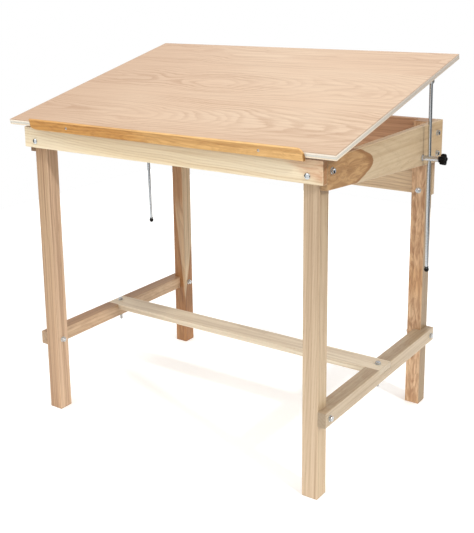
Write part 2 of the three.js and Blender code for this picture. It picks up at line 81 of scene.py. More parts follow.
class Graph:
    """A material's node tree, built a call at a time."""

    def __init__(self, name, roughness, metallic=0.0, specular=0.5):
        self.material = bpy.data.materials.new(name)
        self.material.use_nodes = True
        self.tree = self.material.node_tree
        self.tree.nodes.clear()
        out = self.tree.nodes.new("ShaderNodeOutputMaterial")
        self.shader = self.tree.nodes.new("ShaderNodeBsdfPrincipled")
        self.tree.links.new(self.shader.outputs[0], out.inputs["Surface"])
        self.shader.inputs["Metallic"].default_value = metallic
        self.shader.inputs["Roughness"].default_value = roughness
        self.shader.inputs["Specular IOR Level"].default_value = specular
        coords = self.tree.nodes.new("ShaderNodeTexCoord")
        self.here = coords.outputs["Object"]

    def put(self, socket, value):
        if isinstance(value, bpy.types.NodeSocket):
            self.tree.links.new(value, socket)
        elif value is not None:
            socket.default_value = value

    def math(self, op, a, b=None, c=None, clamp=False):
        n = self.tree.nodes.new("ShaderNodeMath")
        n.operation = op
        n.use_clamp = clamp
        for socket, value in zip(n.inputs, (a, b, c)):
            self.put(socket, value)
        return n.outputs[0]

    def move(self, place, location=(0, 0, 0), rotation=(0, 0, 0), scale=(1, 1, 1)):
        n = self.tree.nodes.new("ShaderNodeMapping")
        self.put(n.inputs["Vector"], place)
        n.inputs["Location"].default_value = location
        n.inputs["Rotation"].default_value = rotation
        n.inputs["Scale"].default_value = scale
        return n.outputs[0]

    def split(self, place):
        n = self.tree.nodes.new("ShaderNodeSeparateXYZ")
        self.put(n.inputs[0], place)
        return n.outputs[0], n.outputs[1], n.outputs[2]

    def gather(self, x, y, z):
        n = self.tree.nodes.new("ShaderNodeCombineXYZ")
        for socket, value in zip(n.inputs, (x, y, z)):
            self.put(socket, value)
        return n.outputs[0]

    def noise(self, place, scale=1.0, detail=2.0, rough=0.5, distortion=0.0, colour=False):
        n = self.tree.nodes.new("ShaderNodeTexNoise")
        self.put(n.inputs["Vector"], place)
        n.inputs["Scale"].default_value = scale
        n.inputs["Detail"].default_value = detail
        n.inputs["Roughness"].default_value = rough
        n.inputs["Distortion"].default_value = distortion
        return n.outputs["Color" if colour else "Fac"]

    def grained(self, place, along, across, seed, detail, rough=0.5, distortion=0.0, colour=False):
        """Noise drawn out along the grain at a place (along, across, across); on a sheet the last is None."""
        u, v, w = place
        third = 0.0 if w is None else self.math("MULTIPLY", w, across)
        first = self.math("MULTIPLY_ADD", u, along, seed)
        point = self.gather(first, self.math("MULTIPLY", v, across), third)
        return self.noise(point, 1.0, detail, rough, distortion, colour)

    def ramp(self, value, stops, smooth=False):
        n = self.tree.nodes.new("ShaderNodeValToRGB")
        n.color_ramp.interpolation = "EASE" if smooth else "LINEAR"
        while len(n.color_ramp.elements) < len(stops):
            n.color_ramp.elements.new(0.5)
        for element, (at, colour) in zip(n.color_ramp.elements, stops):
            element.position = at
            element.color = colour if isinstance(colour, tuple) else (colour, colour, colour, 1)
        self.put(n.inputs[0], value)
        return n.outputs[0]

    def smooth(self, value, low, high, to=(0.0, 1.0)):
        n = self.tree.nodes.new("ShaderNodeMapRange")
        n.interpolation_type = "SMOOTHSTEP"
        self.put(n.inputs["Value"], value)
        n.inputs["From Min"].default_value = low
        n.inputs["From Max"].default_value = high
        n.inputs["To Min"].default_value = to[0]
        n.inputs["To Max"].default_value = to[1]
        return n.outputs[0]

    def mix(self, fac, a, b, blend="MIX"):
        n = self.tree.nodes.new("ShaderNodeMix")
        n.data_type = "RGBA"
        n.blend_type = blend
        # Of the node's sockets, inputs 6 and 7 and output 2 are the ones for colours.
        self.put(n.inputs["Factor"], fac)
        self.put(n.inputs[6], a)
        self.put(n.inputs[7], b)
        return n.outputs[2]

    def bump(self, height, distance, strength=1.0):
        n = self.tree.nodes.new("ShaderNodeBump")
        n.inputs["Distance"].default_value = distance
        n.inputs["Strength"].default_value = strength
        self.put(n.inputs["Height"], height)
        self.put(self.shader.inputs["Normal"], n.outputs[0])

    def colour(self, value):
        self.put(self.shader.inputs["Base Color"], value)

    def rough(self, value):
        self.put(self.shader.inputs["Roughness"], value)


# ---- wood ------------------------------------------------------------------
ORDER = {"x": (0, 1, 2), "y": (1, 2, 0), "z": (2, 0, 1)}


def wood(name, centre, half, along, pale, dark, blush, pith, ring=0.0060, wander=0.010,
         contrast=0.8, seed=0.0, turn=None, patches=(), stretch=1.0, edge=0.35, gloss=0.42, lines=0.5,
         lean=0.0, stain=0.45, mottle=0.0):
    """Sawn, clear-lacquered timber. The growth rings are cylinders about a wandering pith line, so
    faces cut near it show arches, faces cut across it show straight grain, and ends show arcs.
    Each patch is a colour, or a pair for a mottled one, with the mask that says where it lies."""
    g = Graph(name, gloss, specular=0.4)
    place = g.here
    if turn is not None:
        back = turn.inverted()
        place = g.move(place, location=back.translation, rotation=back.to_euler())
        centre = back @ Vector(centre)
    local = g.move(place, location=tuple(-c for c in centre))
    parts = g.split(local)
    u, v, w = (parts[i] for i in ORDER[along])

    # A slow wander of the pith line makes the arches.
    drift = g.grained((u, v, w), 1.5 * stretch, 3.0, seed, 2.0, 0.45, colour=True)
    dv, dw, broad = g.split(drift)
    ripple = g.grained((u, v, w), 9.0 * stretch, 45.0, seed * 3.1, 2.0)
    # A lean of the pith across the piece closes the arches one after another.
    vv = g.math("ADD", g.math("SUBTRACT", v, pith[0]),
                g.math("MULTIPLY", g.math("SUBTRACT", dv, 0.5), wander * 2.2))
    ww = g.math("ADD", g.math("SUBTRACT", g.math("MULTIPLY_ADD", u, lean, w), pith[1]),
                g.math("MULTIPLY", g.math("SUBTRACT", dw, 0.5), wander * 4.0))
    radius = g.math("SQRT", g.math("ADD", g.math("MULTIPLY", vv, vv), g.math("MULTIPLY", ww, ww)))
    radius = g.math("MULTIPLY_ADD", g.math("SUBTRACT", ripple, 0.5), ring * 0.9, radius)
    count = g.math("DIVIDE", radius, ring)
    phase = g.math("FRACT", count)
    early = g.ramp(phase, [(0.0, 1.0), (0.16, 0.85), (0.42, 0.18), (0.86, 0.04), (1.0, 0.9)], smooth=True)
    which = g.noise(g.gather(g.math("MULTIPLY", g.math("FLOOR", count), 0.731), seed, 0.0), 1.0, 0.0)
    early = g.math("MULTIPLY", early, g.smooth(which, 0.25, 0.75, (0.35, 1.0)))

    # Long thin fibres and open pores, most of them in each ring's early wood.
    fibre = g.grained((u, v, w), 14.0, 950.0, seed, 3.0, 0.6)
    pore = g.grained((u, v, w), 70.0, 2100.0, seed * 1.7, 1.0)
    pore = g.math("MULTIPLY", g.smooth(pore, 0.60, 0.70), g.math("MULTIPLY_ADD", early, 0.85, 0.15))
    streak = g.grained((u, v, w), 1.6, 75.0, seed * 2.3, 3.0, 0.55)
    line = g.grained((u, v, w), 1.1, 210.0, seed * 4.7, 2.0)

    # Cloudy, curled patches of the darker colour, as heartwood has them.
    swirl = g.smooth(g.grained((u, v, w), 12.0, 46.0, seed * 5.3, 3.0, 0.6, distortion=2.2), 0.38, 0.66)

    # The figure multiplies what lies under it, so it shows alike on pale wood and on heartwood.
    tint = tuple(d / p for d, p in zip(dark[:3], pale[:3])) + (1,)
    shade = g.mix(g.smooth(broad, 0.30, 0.72), pale, blush)
    shade = g.mix(g.math("MULTIPLY", swirl, mottle), shade, dark)
    for colour, mask in patches:
        if isinstance(colour, list):
            colour = g.mix(swirl, colour[0], colour[1])
        shade = g.mix(mask(g, u, v, w, ripple, drift), shade, colour)
    for amount, share in ((g.smooth(streak, 0.45, 0.75), 0.45), (g.smooth(line, 0.46, 0.66), lines),
                          (early, contrast), (g.smooth(fibre, 0.50, 0.85), 0.20)):
        shade = g.mix(g.math("MULTIPLY", amount, share), shade, tint, "MULTIPLY")
    shade = g.mix(g.math("MULTIPLY", pore, 0.45), shade, dimmed(tint, 0.6), "MULTIPLY")

    # Corners worn a little paler, where the lacquer has thinned, and the ends a little darker.
    reach = 3.5 * MM
    near = [g.smooth(g.math("ABSOLUTE", p), h - reach, h) for p, h in zip((u, v, w), half)]
    corner = g.math("SUBTRACT", g.math("ADD", near[0], g.math("ADD", near[1], near[2])), 1.0, clamp=True)
    worn = g.math("MULTIPLY", corner, g.smooth(streak, 0.30, 0.62))
    shade = g.mix(g.math("MULTIPLY", worn, edge), shade, tuple(min(1, c * 1.18) for c in pale[:3]) + (1,))
    ends = g.smooth(g.math("ABSOLUTE", u), half[0] - 0.0030, half[0] - 0.0006)
    shade = g.mix(g.math("MULTIPLY", ends, stain), shade, dimmed(dark, 0.62))
    g.colour(shade)
    g.rough(g.math("ADD", g.math("MULTIPLY_ADD", fibre, 0.14, gloss - 0.07), g.math("MULTIPLY", pore, 0.25)))
    sunk = g.math("ADD", pore, g.math("MULTIPLY", early, 0.25))
    g.bump(g.math("SUBTRACT", g.math("MULTIPLY", fibre, 0.35), sunk), 0.00022, 0.55)
    return g.material


def dress(node, *materials):
    """Gives a CAD object its materials."""
    data = nodes[node].data
    data.materials.clear()
    for m in materials:
        data.materials.append(m)


def timber(node, along, pale, dark, blush, pith, **kw):
    """Dresses a node in wood of its own, with the grain along one of the axes."""
    lo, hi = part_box(node)
    centre = (lo + hi) / 2
    sizes = (hi - lo) / 2
    half = tuple(sizes[i] for i in ORDER[along])
    dress(node, wood("wood_" + node, centre, half, along, pale, dark, blush, pith, **kw))


def soft_mask(value, low, high):
    """A patch's mask that rises from 0 to 1 as the value goes from low to high."""
    return lambda g, u, v, w, ripple, drift: g.smooth(value(g, u, v, w, ripple, drift), low, high)


CREAM, CREAM_DARK, CREAM_BLUSH = srgb(247, 232, 203), srgb(207, 179, 138), srgb(242, 223, 188)
BROWN, BROWN_DARK, BROWN_BLUSH = srgb(221, 189, 154), srgb(159, 113, 76), srgb(212, 171, 127)
ROSE_DARK = srgb(144, 109, 79)
LEG_SIDE_PAINTED_LIGHT = (20.5 * MM, 22.2 * MM)  # the last of a leg's half thickness: the band of its right face that gets painted light or shade
RAIL_TOP_PAINTED_SHADE = (18.5 * MM, 19.7 * MM)  # the last of a lower rail's half height: the band of its upper face that gets painted shade


def first_cross(g, u, v, w, ripple, drift):
    # The first cross axis: X for "z", which gives a leg's right face; Z for "y", a rail's upper face. The patches
    # masked by it paint light or shade onto these faces.
    return v


# Its right face is painted lighter than the rest: painted light on that side.
timber("leg_front_left", "z", srgb(199, 169, 136), ROSE_DARK, srgb(187, 150, 117), (0.055, 0.030),
       ring=0.0075, wander=0.008, contrast=0.50, seed=3.1, lines=0.55,
       patches=[(srgb(205, 175, 145), soft_mask(first_cross, *LEG_SIDE_PAINTED_LIGHT))])
# Its right face is painted darker than the rest: painted shade on that side.
timber("leg_front_right", "z", srgb(204, 182, 154), srgb(157, 125, 95), srgb(199, 174, 144), (-0.075, 0.036),
       ring=0.0060, wander=0.010, contrast=0.27, seed=11.7, lines=0.27, lean=0.05,
       patches=[(srgb(195, 172, 140), soft_mask(first_cross, *LEG_SIDE_PAINTED_LIGHT))])


def sapwood(g, u, v, w, ripple, drift):
    # A pale wedge of sapwood on the inner arris. For "z" the cross axes are X and Y.
    front = g.math("MULTIPLY", g.math("SUBTRACT", 0.0206, v), -9.6)
    side = g.math("MULTIPLY", g.math("ADD", w, 0.0206), -4.8)
    above = g.math("ADD", g.math("ADD", u, WEDGE_TIP), g.math("ADD", front, side))
    wedge = g.smooth(g.math("MULTIPLY_ADD", g.math("SUBTRACT", ripple, 0.5), 0.02, above), 0.0, 0.030)
    # It is weaker on the front face, and weaker again higher up.
    front_face = g.smooth(v, 0.0205, 0.0190)
    higher = g.math("MULTIPLY", front_face, g.smooth(u, 0.02, 0.12))
    return g.math("MULTIPLY", wedge, g.math("MULTIPLY_ADD", g.math("ADD", higher, front_face), -0.45, 1.0))


WEDGE_TIP = mid("leg_rear_left").z - 0.171  # the wedge's tip is this far below the leg's middle
timber("leg_rear_left", "z", srgb(176, 130, 87), srgb(124, 84, 52), srgb(166, 118, 74), (0.030, 0.040),
       ring=0.0075, wander=0.014, contrast=0.40, seed=23.9, lines=0.40, lean=0.06, mottle=0.3,
       patches=[(srgb(215, 190, 155), sapwood)])
# Its right face is painted much darker than the rest: painted shade on that side.
timber("leg_rear_right", "z", BROWN, BROWN_DARK, BROWN_BLUSH, (0.004, -0.034), ring=0.0100, wander=0.034,
       contrast=0.36, seed=37.3, stretch=3.2, lines=0.08, mottle=0.72,
       patches=[(srgb(149, 126, 95), soft_mask(first_cross, *LEG_SIDE_PAINTED_LIGHT))])


def apron_heart(g, u, v, w, ripple, drift):
    # A pinkish heartwood corner at the right end: it widens towards the end and the top.
    edge = g.math("MULTIPLY_ADD", g.math("SUBTRACT", u, 0.410), 0.55, w)
    return g.math("MULTIPLY_ADD", g.math("SUBTRACT", ripple, 0.5), 0.008, edge)


def apron_end(g, u, v, w, ripple, drift):
    # The sawn right end, which is browner.
    return g.math("SUBTRACT", u, APRON_HALF - 0.0010)


APRON_HALF = (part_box("front_apron")[1].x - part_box("front_apron")[0].x) / 2
# For "x" the cross axes are Y and Z, so w is the height above the board's middle.
timber("front_apron", "x", CREAM, CREAM_DARK, CREAM_BLUSH, (0.030, -0.078), ring=0.0060, wander=0.014,
       contrast=0.46, seed=5.3, stain=0.0, lines=0.20, lean=0.035,
       patches=[([srgb(235, 206, 172), srgb(216, 173, 138)], soft_mask(apron_heart, 0.000, 0.030)),
                (srgb(176, 130, 88), soft_mask(apron_end, 0.0, 0.0008))])


def rear_heart_and_shade(g, u, v, w, ripple, drift):
    # Browner along the top, widest at the right: partly heartwood, partly painted shade under the board.
    edge = g.math("MULTIPLY_ADD", u, 0.10, w)
    return g.math("ADD", edge, g.math("MULTIPLY", g.math("SUBTRACT", ripple, 0.5), 0.03))


timber("rear_apron", "x", srgb(237, 219, 189), srgb(173, 141, 109), srgb(224, 201, 167), (-0.05, 0.03),
       ring=0.0110, wander=0.03, contrast=0.45, seed=47.0, lines=0.3,
       patches=[(srgb(193, 151, 117), soft_mask(rear_heart_and_shade, -0.02, 0.04))])


def rail_tip(g, u, v, ripple):
    # The tongue's outline. For "y" the cross axes are Z and X.
    high = g.math("SUBTRACT", v, 0.0195)
    tip = g.math("MULTIPLY_ADD", g.math("MULTIPLY", high, high), 48.0, u)
    return g.math("MULTIPLY_ADD", g.math("SUBTRACT", ripple, 0.5), 0.026, tip)


def rail_heart(g, u, v, w, ripple, drift):
    # Brown heartwood in the front third, ending in a rounded tongue.
    return g.smooth(rail_tip(g, u, v, ripple), -0.116, -0.106, (1.0, 0.0))


def rail_rim(g, u, v, w, ripple, drift):
    # A darker rim along the tongue's outline.
    tip = rail_tip(g, u, v, ripple)
    return g.math("MULTIPLY", g.smooth(tip, -0.150, -0.118), g.smooth(tip, -0.114, -0.106, (1.0, 0.0)))


def rail_back(g, u, v, w, ripple, drift):
    # A little browner at the rear end.
    return g.math("MULTIPLY_ADD", g.math("SUBTRACT", ripple, 0.5), 0.04, u)


timber("upper_side_rail_right", "y", srgb(209, 189, 157), srgb(171, 142, 107), srgb(201, 177, 143),
       (0.02, 0.055), ring=0.0120, wander=0.040, contrast=0.19, seed=61.5, stretch=1.6,
       lines=0.10, mottle=0.10,
       patches=[(srgb(199, 172, 135), soft_mask(rail_back, 0.19, 0.24)),
                ([srgb(195, 155, 108), srgb(165, 124, 80)], soft_mask(rail_heart, 0.1, 0.9)),
                (srgb(156, 113, 72), soft_mask(rail_rim, 0.1, 0.9))])
timber("upper_side_rail_left", "y", srgb(178, 152, 125), ROSE_DARK, srgb(166, 138, 108), (0.01, -0.05),
       ring=0.0090, wander=0.02, contrast=0.55, seed=71.1)
# Its upper face is painted darker: painted shade from the board above.
timber("lower_side_rail_right", "y", srgb(189, 171, 145), srgb(145, 120, 93), srgb(181, 158, 129),
       (0.030, 0.035), ring=0.0080, wander=0.018, contrast=0.28, seed=83.0, lines=0.22,
       patches=[([srgb(176, 158, 132), srgb(168, 146, 120)], soft_mask(first_cross, *RAIL_TOP_PAINTED_SHADE))])
# Its upper face is painted browner: painted shade from the board above.
timber("lower_side_rail_left", "y", srgb(206, 180, 149), srgb(154, 119, 88), srgb(196, 164, 130),
       (0.026, 0.034), ring=0.0095, wander=0.026, contrast=0.34, seed=97.4, lines=0.18, mottle=0.30,
       patches=[(srgb(166, 132, 100), soft_mask(first_cross, *RAIL_TOP_PAINTED_SHADE))])
timber("centre_stretcher", "x", srgb(224, 212, 190), srgb(180, 158, 130), srgb(217, 201, 176), (0.01, -0.040),
       ring=0.0080, wander=0.016, contrast=0.46, seed=13.0, lines=0.26)

# Pencil ledge: honey-coloured, its own grain along X in the board's turned frame.
LEDGE_THICK = 8 * MM
LEDGE_TALL = 31 * MM
ledge_lo, ledge_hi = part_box("pencil_ledge")
ledge_half = (ledge_hi.x - ledge_lo.x) / 2


def ledge_left(g, u, v, w, ripple, drift):
    # Browner towards its left end.
    return g.math("MULTIPLY_ADD", g.math("SUBTRACT", ripple, 0.5), 0.35, g.math("MULTIPLY", u, -1.0))


honey = wood("wood_pencil_ledge", mid("pencil_ledge"), (ledge_half, LEDGE_THICK / 2, LEDGE_TALL / 2), "x",
             srgb(242, 196, 131), srgb(182, 127, 65), srgb(232, 184, 116), (0.03, -0.045),
             ring=0.0080, wander=0.02, contrast=0.42, seed=29.0, turn=BOARD_TURN, edge=0.6,
             gloss=0.36, lines=0.25, mottle=0.30, stain=0.95,
             patches=[([srgb(216, 160, 88), srgb(196, 139, 73)], soft_mask(ledge_left, -0.05, 0.12))])
dress("pencil_ledge", honey)


# ---- drawing board: bookmatched veneer faces and plywood edges -------------
def veneer(name, pale, dark, blush, seed, contrast):
    g = Graph(name, 0.4, specular=0.4)
    back = BOARD_TURN.inverted()
    local = g.move(g.here, location=back.translation, rotation=back.to_euler())
    u, v, _ = g.split(local)
    # Three sliced leaves: each has its own line of nested arches.
    second = g.math("GREATER_THAN", v, 0.262)
    third = g.math("GREATER_THAN", v, 0.548)
    line = g.math("MULTIPLY_ADD", third, 0.27, g.math("MULTIPLY_ADD", second, 0.285, 0.118))
    slope = g.math("MULTIPLY_ADD", third, -0.19, g.math("MULTIPLY_ADD", second, 0.03, 0.12))
    leaf = g.math("MULTIPLY_ADD", second, 0.41, g.math("MULTIPLY_ADD", third, 0.77, seed))
    drift = g.grained((u, v, None), 2.4, 4.0, leaf, 2.5, colour=True)
    dv, dw, broad = g.split(drift)
    ripple = g.grained((u, v, None), 13.0, 70.0, leaf, 3.0, 0.6)
    vv = g.math("MULTIPLY_ADD", g.math("SUBTRACT", dv, 0.5), 0.10, g.math("SUBTRACT", v, line))
    # In the second leaf the arches only start right of the middle.
    along = g.math("MAXIMUM", u, g.math("MULTIPLY_ADD", second, 0.55, -0.60))
    depth = g.math("MULTIPLY_ADD", along, slope, 0.085)
    ww = g.math("MULTIPLY_ADD", g.math("SUBTRACT", dw, 0.5), 0.10, depth)
    radius = g.math("SQRT", g.math("ADD", g.math("MULTIPLY", vv, vv), g.math("MULTIPLY", ww, ww)))
    radius = g.math("MULTIPLY_ADD", g.math("SUBTRACT", ripple, 0.5), 0.008, radius)
    count = g.math("DIVIDE", radius, 9.4 * MM)
    phase = g.math("FRACT", count)
    early = g.ramp(phase, [(0.0, 1.0), (0.20, 0.75), (0.48, 0.12), (0.82, 0.05), (1.0, 0.9)], smooth=True)
    which = g.noise(g.gather(g.math("MULTIPLY", g.math("FLOOR", count), 0.617), leaf, 0.0), 1.0, 0.0)
    early = g.math("MULTIPLY", early, g.smooth(which, 0.25, 0.75, (0.35, 1.0)))
    patchy = g.smooth(g.grained((u, v, None), 2.6, 6.0, seed, 1.0), 0.35, 0.62, (0.40, 1.0))
    early = g.math("MULTIPLY", early, patchy)
    fibre = g.grained((u, v, None), 16.0, 900.0, seed, 3.0, 0.6)
    pore = g.grained((u, v, None), 80.0, 2000.0, seed * 1.7, 1.0)
    pore = g.math("MULTIPLY", g.smooth(pore, 0.60, 0.70), g.math("MULTIPLY_ADD", early, 0.8, 0.2))
    streak = g.grained((u, v, None), 2.2, 62.0, seed * 2.3, 4.0, 0.6)
    thin = g.grained((u, v, None), 2.6, 170.0, seed * 4.3, 2.0)

    shade = g.mix(g.smooth(broad, 0.32, 0.70), pale, blush)
    # Rosier towards the front edge, and along the left.
    rosy = g.math("MAXIMUM", g.smooth(g.math("MULTIPLY_ADD", broad, 0.12, v), 0.05, 0.22, (0.60, 0.0)),
                  g.smooth(g.math("MULTIPLY_ADD", broad, 0.2, u), -0.45, 0.10, (1.0, 0.0)))
    shade = g.mix(rosy, shade, tuple(c * k for c, k in zip(blush[:3], (0.90, 0.87, 0.85))) + (1,))
    shade = g.mix(g.math("MULTIPLY", g.smooth(streak, 0.46, 0.78), 0.50), shade, dark)
    shade = g.mix(g.math("MULTIPLY", g.smooth(thin, 0.48, 0.70), 0.28), shade, dark)
    shade = g.mix(g.math("MULTIPLY", early, contrast), shade, dark)
    shade = g.mix(g.math("MULTIPLY", g.smooth(fibre, 0.48, 0.85), 0.16), shade, dark)
    shade = g.mix(g.math("MULTIPLY", pore, 0.36), shade, dimmed(dark, 0.5))
    # Painted shade: a thin dark line along the board's edges, where the rounded edge turns away from the light.
    painted_edge_shade = g.math("MAXIMUM", g.smooth(g.math("ABSOLUTE", u), 0.5305, 0.5325),
                 g.smooth(g.math("ABSOLUTE", g.math("SUBTRACT", v, 0.368)), 0.3720, 0.3740))
    shade = g.mix(g.math("MULTIPLY", painted_edge_shade, 0.55), shade, dimmed(dark, 0.62))
    g.colour(shade)
    g.rough(g.math("ADD", g.math("MULTIPLY_ADD", fibre, 0.12, 0.34), g.math("MULTIPLY", pore, 0.25)))
    g.bump(g.math("SUBTRACT", g.math("MULTIPLY", fibre, 0.3), pore), 0.00012, 0.5)
    return g.material


def ply_edge(name, seed):
    """Plywood seen from its edge: plies of long and end grain with thin glue lines, and a few small voids."""
    g = Graph(name, 0.55, specular=0.35)
    back = BOARD_TURN.inverted()
    local = g.move(g.here, location=back.translation, rotation=back.to_euler())
    u, v, h = g.split(local)
    run = g.math("ADD", u, v)
    wave = g.noise(g.gather(g.math("MULTIPLY", run, 14.0), seed, 0.0), 1.0, 2.0)
    depth = g.math("SUBTRACT", h, BOARD_UNDER)
    depth = g.math("MULTIPLY_ADD", g.math("SUBTRACT", wave, 0.5), 0.0007, depth)
    part = g.math("DIVIDE", depth, BOARD_TOP - BOARD_UNDER)
    cream, grey, white = srgb(246, 230, 205), srgb(222, 219, 209), srgb(250, 240, 224)
    glue, face = srgb(172, 157, 138), srgb(196, 168, 142)
    stops = [(0.0, face), (0.045, face), (0.055, glue), (0.075, cream), (0.30, cream), (0.315, glue),
             (0.335, grey), (0.63, grey), (0.645, glue), (0.665, white), (0.925, white), (0.94, glue),
             (0.955, face), (1.0, face)]
    shade = g.ramp(part, stops)
    grain = g.noise(g.gather(g.math("MULTIPLY", run, 60.0), g.math("MULTIPLY", h, 2600.0), seed), 1.0, 2.0)
    speck = g.noise(g.gather(g.math("MULTIPLY", run, 700.0), g.math("MULTIPLY", h, 900.0), seed), 1.0, 2.0)
    cross = g.math("MULTIPLY", g.smooth(part, 0.325, 0.345), g.smooth(part, 0.62, 0.64, (1.0, 0.0)))
    texture = g.mix(cross, grain, speck)
    shade = g.mix(g.math("MULTIPLY", g.smooth(texture, 0.45, 0.75), 0.22), shade, srgb(170, 142, 108))
    # The right edge is greyer and darker towards the back.
    greyer_back = g.math("MULTIPLY", g.smooth(u, 0.530, 0.532), g.smooth(v, -0.15, 0.45))
    shade = g.mix(g.math("MULTIPLY", greyer_back, 0.66), shade, srgb(172, 160, 150))
    gap = g.noise(g.gather(g.math("MULTIPLY", run, 26.0), g.math("MULTIPLY", h, 160.0), seed + 4.0), 1.0, 1.0)
    gap = g.math("MULTIPLY", g.smooth(gap, 0.735, 0.765), cross)
    shade = g.mix(g.math("MULTIPLY", gap, 0.75), shade, srgb(88, 66, 48))
    g.colour(shade)
    g.rough(g.math("MULTIPLY_ADD", texture, 0.2, 0.45))
    g.bump(g.math("SUBTRACT", g.math("MULTIPLY", texture, 0.4), gap), 0.0004, 0.6)
    return g.material


dress("drawing_board",
      veneer("veneer_top", srgb(215, 189, 162), srgb(173, 136, 106), srgb(210, 180, 152), 2.0, 0.72),
      veneer("veneer_under", srgb(204, 176, 147), srgb(163, 127, 98), srgb(194, 163, 131), 17.0, 0.70),
      ply_edge("ply_edges", 8.0))
for polygon in nodes["drawing_board"].data.polygons:
    facing = polygon.normal.dot(NORMAL)
    polygon.material_index = 0 if facing > 0.9 else 1 if facing < -0.9 else 2


# ---- metals, plastic and rubber --------------------------------------------
def metal(name, tone, rough, mottle=0.12, drawn=False, tint=None, dents=0.00004):
    """Plated metal with a faint spangle; drawn wire has it stretched along Z."""
    g = Graph(name, rough, metallic=1.0)
    cloud = g.noise(g.here, 420.0, 3.0, 0.6)
    spangle = g.noise(g.here, 1500.0, 2.0, 0.6)
    shade = g.mix(g.smooth(cloud, 0.35, 0.70), tone, tint or dimmed(tone, 0.82))
    shade = g.mix(g.math("MULTIPLY", g.smooth(spangle, 0.55, 0.80), 0.25), shade, dimmed(tone, 0.6))
    g.colour(shade)
    surface = spangle
    if drawn:
        surface = g.noise(g.move(g.here, scale=(2600, 2600, 30)), 1.0, 2.0)
    g.rough(g.math("MULTIPLY_ADD", surface, mottle, rough - mottle / 2))
    g.bump(surface, dents, 0.35)
    return g.material


ZINC = metal("zinc_plate", srgb(196, 199, 202), 0.16, 0.12)
PLATE = metal("zinc_washer", srgb(222, 225, 224), 0.42, 0.14)
BRIGHT = metal("zinc_nut", srgb(216, 219, 221), 0.26, 0.14)
CHROME = metal("polished_dome", srgb(214, 219, 222), 0.05, 0.03, dents=0.000004)
ROD = metal("drawn_steel_rod", srgb(198, 202, 206), 0.13, 0.08, drawn=True)
SATIN = metal("satin_nickel", srgb(214, 217, 218), 0.34, 0.12)
CLAMP_BAR = metal("clamp_bar", srgb(206, 209, 214), 0.24, 0.12)
COLLAR = metal("clamp_collar", srgb(104, 102, 110), 0.22, 0.12)
BRASSY = metal("yellow_zinc", srgb(196, 176, 124), 0.32, 0.14, tint=srgb(170, 150, 104))


def moulded(name, tone, rough, pebble, specular=0.18):
    """Black plastic or rubber with a fine texture and pale scuffs."""
    g = Graph(name, rough, specular=specular)
    fine = g.noise(g.here, pebble, 2.0, 0.5)
    scuff = g.noise(g.here, 160.0, 3.0, 0.6)
    shade = g.mix(g.smooth(scuff, 0.50, 0.80), tone, tuple(c * 2.2 + 0.004 for c in tone[:3]) + (1,))
    g.colour(shade)
    g.rough(g.math("ADD", g.math("MULTIPLY_ADD", fine, 0.16, rough - 0.08), g.math("MULTIPLY", scuff, 0.08)))
    g.bump(fine, 0.00006, 0.5)
    return g.material


PLASTIC = moulded("knob_plastic", srgb(7, 6, 6), 0.52, 2600.0, 0.10)
RUBBER = moulded("tip_rubber", srgb(16, 15, 15), 0.62, 3200.0)


# ---- mesh helpers ----------------------------------------------------------
def piece(name, bm, material, body, smooth=40.0, replaces=(), at=None):
    """Makes an object of a bmesh, placed by a matrix, riding on a body."""
    bmesh.ops.remove_doubles(bm, verts=bm.verts, dist=1e-7)
    bmesh.ops.recalc_face_normals(bm, faces=bm.faces)
    if at is not None:
        bmesh.ops.transform(bm, matrix=at, verts=bm.verts)
    data = bpy.data.meshes.new(name)
    bm.to_mesh(data)
    bm.free()
    data.materials.append(material)
    data.shade_smooth()
    data.set_sharp_from_angle(angle=math.radians(smooth))
    obj = bpy.data.objects.new(name, data)
    bpy.context.scene.collection.objects.link(obj)
    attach(obj, body)
    if replaces:
        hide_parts(*replaces)
    return obj


def rings(bm, sections, closed_ends=True):
    """Joins equal rings of points into a skin, and closes its ends."""
    made = [[bm.verts.new(p) for p in section] for section in sections]
    n = len(made[0])
    for a, b in zip(made, made[1:]):
        for i in range(n):
            bm.faces.new((a[i], a[(i + 1) % n], b[(i + 1) % n], b[i]))
    if closed_ends:
        bm.faces.new(list(reversed(made[0])))
        bm.faces.new(made[-1])
    return made


def circle(r, z, n=32):
    return [(r * math.cos(2 * math.pi * i / n), r * math.sin(2 * math.pi * i / n), z) for i in range(n)]


def lathe(bm, profile, n=32):
    """A closed turned shape about Z, from (radius, height) pairs.
    They go once round the section, or start and end on the axis."""
    on_axis = profile[0][0] < 1e-9 and profile[-1][0] < 1e-9
    if on_axis:
        first = bm.verts.new((0, 0, profile[0][1]))
        last = bm.verts.new((0, 0, profile[-1][1]))
        made = rings(bm, [circle(r, z, n) for r, z in profile[1:-1]], closed_ends=False)
        for i in range(n):
            j = (i + 1) % n
            bm.faces.new((first, made[0][j], made[0][i]))
            bm.faces.new((last, made[-1][i], made[-1][j]))
    else:
        rings(bm, [circle(r, z, n) for r, z in profile + profile[:1]], closed_ends=False)


def thread(bm, z0, z1, r, pitch=0.00125, depth=0.00050, n=20):
    """A helical screw thread about Z from z0 to z1, with a chamfered end at z1."""
    steps = max(8, int(abs(z1 - z0) / pitch * 4))
    sections = []
    for k in range(steps + 1):
        z = z0 + (z1 - z0) * k / steps
        fade = min(1.0, (steps - k) / 5, k / 3)
        ring = []
        for i in range(n):
            a = 2 * math.pi * i / n
            turn = (z / pitch - i / n) % 1.0
            ridge = 1 - abs(2 * turn - 1)
            rr = r - depth * (1 - ridge * fade)
            if k == steps:
                rr = r - depth * 1.6
            ring.append((rr * math.cos(a), rr * math.sin(a), z))
        sections.append(ring)
    rings(bm, sections)


